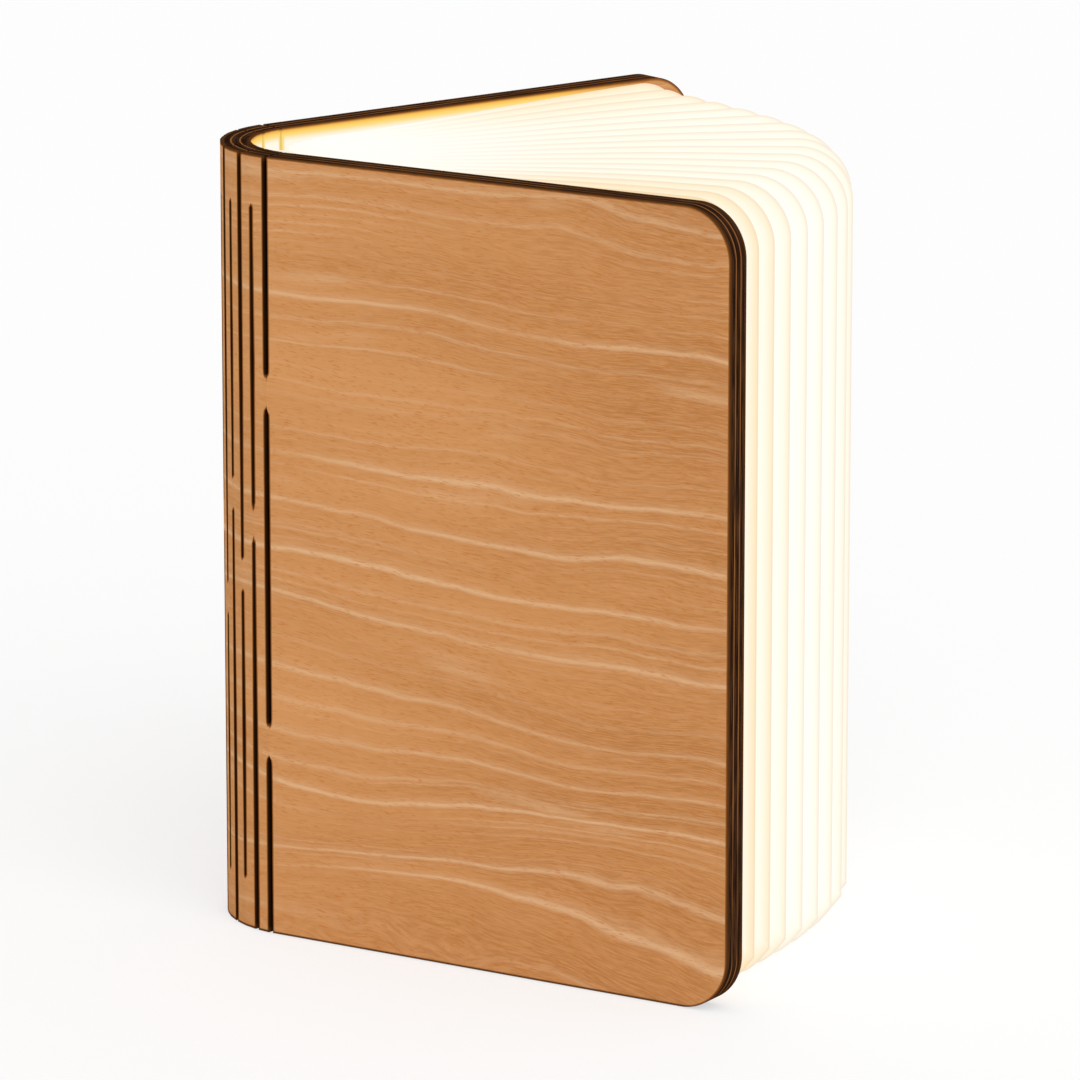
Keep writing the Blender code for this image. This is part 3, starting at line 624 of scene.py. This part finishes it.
def make_board(side, name):
    """One cover board: loops from the inner face over the charred edge to the outer face."""
    half = PLY_THICKNESS / 2
    place = kerf_point(KERFS_PER_SIDE, side)
    along, out = wall_directions(KERFS_PER_SIDE, side)
    builder = bmesh.new()
    veneer, scorch, rings = [], [], []
    for inset, level, burnt in ((INNER_SCORCH_WIDTH, -half, 0.0), (EASE, -half, EASED_SCORCH),
                                (0, EASE - half, 1.0), (0, half - EASE, 1.0),
                                (EASE, half, EASED_SCORCH), (SCORCH_WIDTH, half, 0.0)):
        ring = []
        for reach, height, cut in board_ring(inset, level):
            ring.append(builder.verts.new(place + along * reach + out * level + Vector((0, 0, height))))
            veneer.append((side * (SPINE_HALF_LENGTH - KERF_PITCH / 2 + reach), level, height))
            scorch.append(burnt * cut)
        rings.append(ring)
    count = len(rings[0])
    for lower, upper in zip(rings, rings[1:]):
        for index in range(count):
            following = (index + 1) % count
            builder.faces.new((lower[index], lower[following], upper[following], upper[index]))
    builder.faces.new(rings[0])
    builder.faces.new(rings[-1])
    bmesh.ops.recalc_face_normals(builder, faces=builder.faces)
    mesh = bpy.data.meshes.new(f"{name}_cover_board")
    builder.to_mesh(mesh)
    builder.free()
    store(mesh, "veneer", "FLOAT_VECTOR", veneer)
    store(mesh, "scorch", "FLOAT", scorch)
    mesh.materials.append(plywood)
    mesh.shade_smooth()
    mesh.set_sharp_from_angle(angle=SHARP_FROM)
    piece = bpy.data.objects.new(mesh.name, mesh)
    bpy.context.collection.objects.link(piece)
    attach(piece, f"{name}_cover")
    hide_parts(f"{name}_board")


make_board(-1, "front")
make_board(1, "back")


# Page bellows: one sheet of tough translucent paper folded into eighteen C-shaped pleats, glued to the
# two covers by its end panels only. Each pleat here runs from one crest down to the fold behind it and
# up to the next crest, between the two leaves that carry its crests.

LEAF_COUNT = 17
MIDDLE_LEAF = 10

# The C of a crest and of a fold, with its corners at the head and the foot
HEAD_INSET = 0.0006
FOOT_INSET = 0.0003
LEAF_DEPTH = 0.021
HEAD_CORNER_RADIUS = 0.0085
FOOT_CORNER_REACH = 0.0050
FOOT_CORNER_RISE = 0.0042
FOOT_CORNER_LEAN = 0.62
VALLEY_RADIUS = 0.0035
CREST_DIP = 0.0016
DIP_REACH = (0.012, 0.075)
DIP_HEIGHTS = (0.110, 0.119)
CREST_ROUND = 0.05
PAPER_THICKNESS = 0.00014

# Roots and tips. The leaves' reach drops from the middle one to that at 8/9 of the way to a cover
PAGE_REACH_DROP = 0.0078
DROP_STEEPNESS = 9 / 8
LENS_CLEARANCE = 0.0102
SPINE_CLEARANCE = 0.002
END_PANEL_GAP = 0.00022
END_PANEL_ROOT = 0.006
END_PANEL_INSET = 0.002

# Mesh steps, and the distance out from the spine and the depth within an end board where a pleat's bend was to sit;
# the loop below works out places from them but bends nothing
C_STRETCHES = 5
PATH_STEPS = 71
PLEAT_STEPS = 25
BEND_RADIUS = 0.025
END_BEND_DEPTH = 0.003

# Painted light in the paper: white near the spine, creamier in bands along the crests, a thin line of painted shade
# on each crest, warmer beside the covers
CREAM_BAND = (0.86, 0.995)
CREST_SHADE_BAND = (0.965, 0.996)
WHITE_ROOT = (0.018, 0.062)
WARM_FRONT_PLEATS = 4
WARM_BACK_PLEATS = 6
BACK_WARMTH = 0.7
PAPER_GLOW = colour(0.98, 0.985, 0.92)
PAPER_CREST_GLOW = colour(0.98, 0.885, 0.72)
PAPER_WARM_GLOW = colour(0.98, 0.68, 0.30)
PAPER_ROOT_GLOW = colour(1.0, 1.0, 0.95)
CREST_SHADE_GLOW = colour(0.66, 0.54, 0.43)
PAPER_GROUND = colour(0.24, 0.228, 0.205)
PAPER_CREST_SHADE = colour(0.16, 0.12, 0.10)


def glowing_paper():
    """Paper with painted light from the spine: white near it, bright in the folds, creamier at each crest and by the
    covers, with a painted shade line on each crest.
    """
    material, shader, start = new_finish("bellows_paper")
    crest = start.carried("crest")
    shade = start.carried("shade")
    place = start.node("ShaderNodeTexCoord", output="Object")
    felt = place.cloud((900, 900, 900), 3.0, 0.65)
    wisp = place.cloud((140, 140, 240), 3.0, 0.6)
    high = crest.rise(*CREAM_BAND)
    line = crest.rise(*CREST_SHADE_BAND)
    far = start.carried("root_reach").rise(*WHITE_ROOT)
    glow = (high * 0.95).tint(PAPER_GLOW, PAPER_CREST_GLOW)
    glow = (shade * (0.30 + high * 0.60)).tint(glow, PAPER_WARM_GLOW)
    glow = (wisp.rise(0.35, 0.75) * 0.06).tint(glow, PAPER_CREST_GLOW)
    # Painted shade: a thin darker line along each crest, in the glow and in the base colour
    glow = (line * 0.24).tint(glow, CREST_SHADE_GLOW)
    glow = far.tint(PAPER_ROOT_GLOW, glow)
    feed(shader, "Emission Color", glow)
    feed(shader, "Emission Strength", 0.80)
    feed(shader, "Base Color", (line * 0.20).tint(PAPER_GROUND, PAPER_CREST_SHADE))
    feed(shader, "Roughness", 0.75 + felt * 0.1)
    feed(shader, "Specular IOR Level", 0.08)
    bump = start.node("ShaderNodeBump", None, {"Strength": 0.2, "Distance": 0.00006, "Height": felt + wisp * 0.5})
    feed(shader, "Normal", bump)
    return material


def share_of(run, first):
    """Part of one stretch of the C that a place on the run has passed, from 0 to 1."""
    return (run - first).maths("MAXIMUM", 0.0).maths("MINIMUM", 1.0)


def c_path(run, root, tip, low, high, head_radius, foot_reach, foot_rise):
    """Reach and height on a C: out along the head, round a corner, down, past a slanting cut and back."""
    head = share_of(run, 0) * (tip - head_radius - root)
    turn_down = share_of(run, 1) * (math.pi / 2)
    fall = share_of(run, 2) * (high - low - head_radius - foot_rise)
    cut = share_of(run, 3)
    cut_reach = foot_reach * cut * (2 * FOOT_CORNER_LEAN * (1 - cut) + cut)
    foot = share_of(run, 4) * (tip - foot_reach - root)
    reach = root + head + head_radius * turn_down.maths("SINE") - cut_reach - foot
    height = high - head_radius * (1 - turn_down.maths("COSINE")) - fall - foot_rise * cut * (2 - cut)
    return reach, height


def between(first, second, factor):
    """A vector part of the way from one to another."""
    return first.node("ShaderNodeMix", {"data_type": "VECTOR"}, {0: factor, 4: first, 5: second}, 1)


paper = glowing_paper()
tree, given = grow_tree("bellows_pleat", [
    ("Height", NUMBER), ("Head Inset", NUMBER), ("Foot Inset", NUMBER), ("Depth", NUMBER), ("Head Radius", NUMBER),
    ("Valley Radius", NUMBER), ("First Foot Reach", NUMBER), ("First Foot Rise", NUMBER),
    ("Second Foot Reach", NUMBER), ("Second Foot Rise", NUMBER),
    ("Crest Dip", NUMBER), ("Crest Round", NUMBER), ("Path Steps", COUNT), ("Pleat Steps", COUNT),
    ("First Place", VECTOR), ("First Along", VECTOR), ("First Root", NUMBER), ("First Tip", NUMBER),
    ("Valley Place", VECTOR), ("Valley Along", VECTOR), ("Valley Root", NUMBER), ("Valley Tip", NUMBER),
    ("Second Place", VECTOR), ("Second Along", VECTOR), ("Second Root", NUMBER), ("Second Tip", NUMBER),
    ("Shade", NUMBER), ("Material", "NodeSocketMaterial")])
grid = given["Height"].node("GeometryNodeMeshGrid", None, {
    "Size X": float(C_STRETCHES), "Size Y": 2.0, "Vertices X": given["Path Steps"],
    "Vertices Y": given["Pleat Steps"]}, "Mesh")
run, swing, _ = grid.node("GeometryNodeInputPosition").split()
run = run + C_STRETCHES / 2
low = given["Foot Inset"]
high = given["Height"] - given["Head Inset"]
(first_reach, first_height), (second_reach, second_height) = [
    c_path(run, given[f"{label} Root"], given[f"{label} Tip"], low, high, given["Head Radius"],
           given[f"{label} Foot Reach"], given[f"{label} Foot Rise"]) for label in ("First", "Second")]
valley_reach, valley_height = c_path(run, given["Valley Root"], given["Valley Tip"] - given["Depth"],
                                     low + given["Depth"], high - given["Depth"], *[given["Valley Radius"]] * 3)
is_second = swing.rise(-0.001, 0.001)
crest = swing.maths("ABSOLUTE")
# The crest is rounded: close to it the paper leaves sideways before it falls
rounding = given["Crest Round"]
slope = 1 - crest
fall = ((slope * slope + rounding * rounding).maths("SQRT") - rounding) \
    / ((1 + rounding * rounding).maths("SQRT") - rounding)
stand = 1 - fall
crest_reach = first_reach + is_second * (second_reach - first_reach)
crest_height = first_height + is_second * (second_height - first_height)
# At the head the crests dip a little towards the spine
dip = given["Crest Dip"] * (1 - crest_reach.rise(*DIP_REACH)) * crest_height.rise(*DIP_HEIGHTS)
crest_height = crest_height - dip
reach = valley_reach + stand * (crest_reach - valley_reach)
height = valley_height + stand * (crest_height - valley_height)
crest_place = between(given["First Place"], given["Second Place"], is_second)
crest_along = between(given["First Along"], given["Second Along"], is_second)
pleat_place = between(given["Valley Place"], crest_place, crest)
pleat_along = between(given["Valley Along"], crest_along, crest)
upright = grid.node("ShaderNodeCombineXYZ", None, {"Z": height})
target = added(pleat_place, stretched(pleat_along, reach), upright)
folded = grid
for name, value in (("crest", crest), ("shade", given["Shade"]), ("root_reach", reach)):
    folded = marked(folded, name, value)
shaped = grid.node("GeometryNodeSetPosition", None, {"Geometry": folded, "Position": target})
smoothed = grid.node("GeometryNodeSetShadeSmooth", None, {"Geometry": shaped, "Shade Smooth": True})
end_tree(smoothed, given["Material"])
pleat_tree = tree


def leaf_share(leaf):
    """Share of its cover's swing that a leaf makes: -1 at the front cover, 1 at the back."""
    part = leaf / (LEAF_COUNT + 1)
    middle = MIDDLE_LEAF / (LEAF_COUNT + 1)
    lean = (middle - 1 / 2) / (middle * (1 - middle))
    return 2 * (part - lean * part * (1 - part)) - 1


def leaf_axis(leaf):
    """Hinge line between a leaf and its neighbour towards the middle leaf."""
    inward = leaf + 1 if leaf < MIDDLE_LEAF else leaf - 1
    share = (leaf_share(leaf) + leaf_share(inward)) / 2
    radius = SPINE_HALF_LENGTH / REST_HALF_BEND
    angle = REST_HALF_BEND * share
    return lamp_point(PLY_THICKNESS / 2 + radius * (1 - math.cos(angle)), radius * math.sin(angle))


def turn_about(axis, angle):
    """A turn about the upright line through a place."""
    return Matrix.Translation(axis) @ Matrix.Rotation(angle, 4, "Z") @ Matrix.Translation(-axis)


def closed_level(leaf):
    """Sideways place of a leaf in the closed book, evenly stacked between the covers."""
    turn = math.pi / 2 / KERFS_PER_SIDE
    reach = KERF_PITCH / 2 + KERF_PITCH * sum(math.cos(slat * turn) for slat in range(1, KERFS_PER_SIDE))
    return (reach - PLY_THICKNESS / 2) * (2 * leaf / (LEAF_COUNT + 1) - 1)


def leaf_plane(leaf):
    """Where a leaf's plane starts at rest, its direction, and its root and tip along it."""
    whole = Matrix.Identity(4)
    step = 1 if leaf > MIDDLE_LEAF else -1
    for link in range(MIDDLE_LEAF + step, leaf + step, step) if leaf != MIDDLE_LEAF else ():
        swing = REST_HALF_OPENING * (leaf_share(link) - leaf_share(link - step))
        whole = whole @ turn_about(leaf_axis(link), -swing)
    opened = whole.inverted()
    start = opened @ lamp_point(0, closed_level(leaf))
    along = opened.to_3x3() @ Vector((1, 0, 0))
    # Leaves are longest in the middle and shorter towards the covers, and their roots clear lens and wall
    spread = abs(leaf_share(leaf))
    tip = PAGE_REACH - PAGE_REACH_DROP * (1 - math.cos(math.pi * min(1, spread * DROP_STEEPNESS))) / 2
    wall = PLY_THICKNESS / 2 + SPINE_HALF_LENGTH / (math.pi / 2) * (1 - math.cos(leaf_share(leaf) * math.pi / 2))
    lens = PLY_THICKNESS / 2 + math.sqrt(LENS_CLEARANCE ** 2 - closed_level(leaf) ** 2)
    return start, along, max(lens, wall + PLY_THICKNESS / 2 + SPINE_CLEARANCE), tip


def cover_plane(side):
    """The same for the end panel that is glued to a cover's inner face."""
    along, out = wall_directions(KERFS_PER_SIDE, side)
    start = kerf_point(KERFS_PER_SIDE, side) - out * (PLY_THICKNESS / 2 + END_PANEL_GAP)
    return start, along, END_PANEL_ROOT, COVER_REACH - END_PANEL_INSET


for pleat in range(LEAF_COUNT + 1):
    first = cover_plane(-1) if pleat == 0 else leaf_plane(pleat)
    second = cover_plane(1) if pleat == LEAF_COUNT else leaf_plane(pleat + 1)
    if pleat == 0:
        valley = first
    elif pleat == LEAF_COUNT:
        valley = second
    else:
        valley = ((first[0] + second[0]) / 2, (first[1] + second[1]).normalized(),
                  (first[2] + second[2]) / 2, (first[3] + second[3]) / 2)
    values = {"Height": COVER_HEIGHT, "Head Inset": HEAD_INSET, "Foot Inset": FOOT_INSET, "Depth": LEAF_DEPTH,
              "Head Radius": HEAD_CORNER_RADIUS, "Valley Radius": VALLEY_RADIUS, "Crest Dip": CREST_DIP,
              "Crest Round": CREST_ROUND, "Path Steps": PATH_STEPS, "Pleat Steps": PLEAT_STEPS, "Material": paper,
              "Shade": max(0.0, 1 - pleat / WARM_FRONT_PLEATS,
                           BACK_WARMTH - (LEAF_COUNT - pleat) / WARM_BACK_PLEATS)}
    for label, glued in (("First", pleat == 0), ("Second", pleat == LEAF_COUNT)):
        values[f"{label} Foot Reach"] = HEAD_CORNER_RADIUS if glued else FOOT_CORNER_REACH
        values[f"{label} Foot Rise"] = HEAD_CORNER_RADIUS if glued else FOOT_CORNER_RISE
    for label, (place, along, root, tip) in (("First", first), ("Valley", valley), ("Second", second)):
        values.update({f"{label} Place": place, f"{label} Along": along, f"{label} Root": root, f"{label} Tip": tip})
    piece = grown_mesh(f"pleat_{pleat + 1:02d}", pleat_tree, values,
                       [("SOLIDIFY", {"thickness": PAPER_THICKNESS, "offset": 0.0})])
    if pleat == 0 or pleat == LEAF_COUNT:
        side = -1 if pleat == 0 else 1
        _, out = wall_directions(KERFS_PER_SIDE, side)
        valley[0] - out * END_BEND_DEPTH
        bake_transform(piece)
    else:
        across = Vector((-valley[1].y, valley[1].x, 0))
        middle = valley[0] + valley[1] * BEND_RADIUS
        spread = abs((first[0] + first[1] * BEND_RADIUS - middle).dot(across))
        middle - across * spread
        middle + across * spread
        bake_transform(piece)
    nodes = [f"page_leaf_{pleat:02d}"] if pleat else ["front_end_sheet"]
    if pleat == LEAF_COUNT:
        nodes.append("back_end_sheet")
    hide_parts(*nodes)


# Light unit in the spine: a white moulded channel with an opal lens and two end caps, stuck to the
# centre slat with foam tape. The lens is lit by the lamp board behind it; channel and caps carry a weaker painted
# glow.

LENS_GLOW = colour(0.96, 0.93, 0.80)
LAMP_COUNT = 9


def moulded(name, ground, roughness, speckle, glow=None, strength=0.0, metallic=0.0):
    """Moulded, pressed or wrapped material with a fine surface grain."""
    material, shader, start = new_finish(name)
    place = start.node("ShaderNodeTexCoord", output="Object")
    grain = place.cloud((1600, 1600, 1600), 2.0, 0.6)
    patch = place.cloud((220, 220, 220), 2.0, 0.5)
    darker = colour(*(part * (1 - speckle) for part in ground[:3]))
    feed(shader, "Base Color", patch.rise(0.3, 0.7).tint(darker, ground))
    feed(shader, "Roughness", roughness + grain * 0.14 - 0.07)
    feed(shader, "Metallic", metallic)
    if glow:
        feed(shader, "Emission Color", (patch.rise(0.3, 0.7) * 0.25 + 0.75).tint(colour(0.8, 0.7, 0.5), glow))
        feed(shader, "Emission Strength", strength)
    bump = start.node("ShaderNodeBump", None, {"Strength": 0.15, "Distance": 0.00005, "Height": grain})
    feed(shader, "Normal", bump)
    return material


def refinish(node, material):
    """Give a solid that is shown as it is its own finish."""
    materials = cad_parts[node].data.materials
    materials.clear()
    materials.append(material)


# Painted glow: the white channel and its caps glow with the lamp's light, though they are no lamp
white_plastic_painted_glow = moulded("white_moulding_painted_glow", colour(0.55, 0.54, 0.51), 0.45, 0.05, LENS_GLOW, 0.42)
opal_lens = moulded("opal_lens", colour(0.30, 0.29, 0.26), 0.35, 0.04, LENS_GLOW, 0.78)
dark_foam = moulded("foam", colour(0.11, 0.11, 0.11), 0.85, 0.3)
for node, material in (("light_housing", white_plastic_painted_glow), ("top_end_cap", white_plastic_painted_glow),
                       ("bottom_end_cap", white_plastic_painted_glow), ("diffuser", opal_lens), ("mounting_tape", dark_foam)):
    refinish(node, material)


# Inside the channel: lamp board, cell, control board with its glass reed switch, leads and charging
# socket, and the magnets sunk in the covers. Off-the-shelf parts, each in its own finish.

board_white = moulded("solder_mask", colour(0.82, 0.82, 0.78), 0.4, 0.08)
steel = moulded("pressed_steel", colour(0.62, 0.62, 0.63), 0.28, 0.06, metallic=1.0)
foil = moulded("cell_foil", colour(0.52, 0.53, 0.55), 0.36, 0.12, metallic=0.8)
phosphor = moulded("phosphor", colour(0.45, 0.35, 0.12), 0.4, 0.1, colour(1.0, 0.9, 0.62), 0.8)
reed_glass = moulded("reed_glass", colour(0.42, 0.58, 0.52), 0.1, 0.05)
red_insulation = moulded("red_insulation", colour(0.55, 0.04, 0.03), 0.45, 0.08)
fillings = {"led_board": board_white, "control_board": board_white, "usb_socket": steel, "battery_cell": foil,
            "reed_switch": reed_glass, "battery_lead_plus": red_insulation, "battery_lead_minus": red_insulation,
            "sensor_magnet": steel}
fillings.update({f"{name}_magnet_{end}": steel for name in ("front", "back") for end in ("top", "bottom")})
fillings.update({f"led_chip_{index}": phosphor for index in range(1, LAMP_COUNT + 1)})
for node, material in fillings.items():
    refinish(node, material)
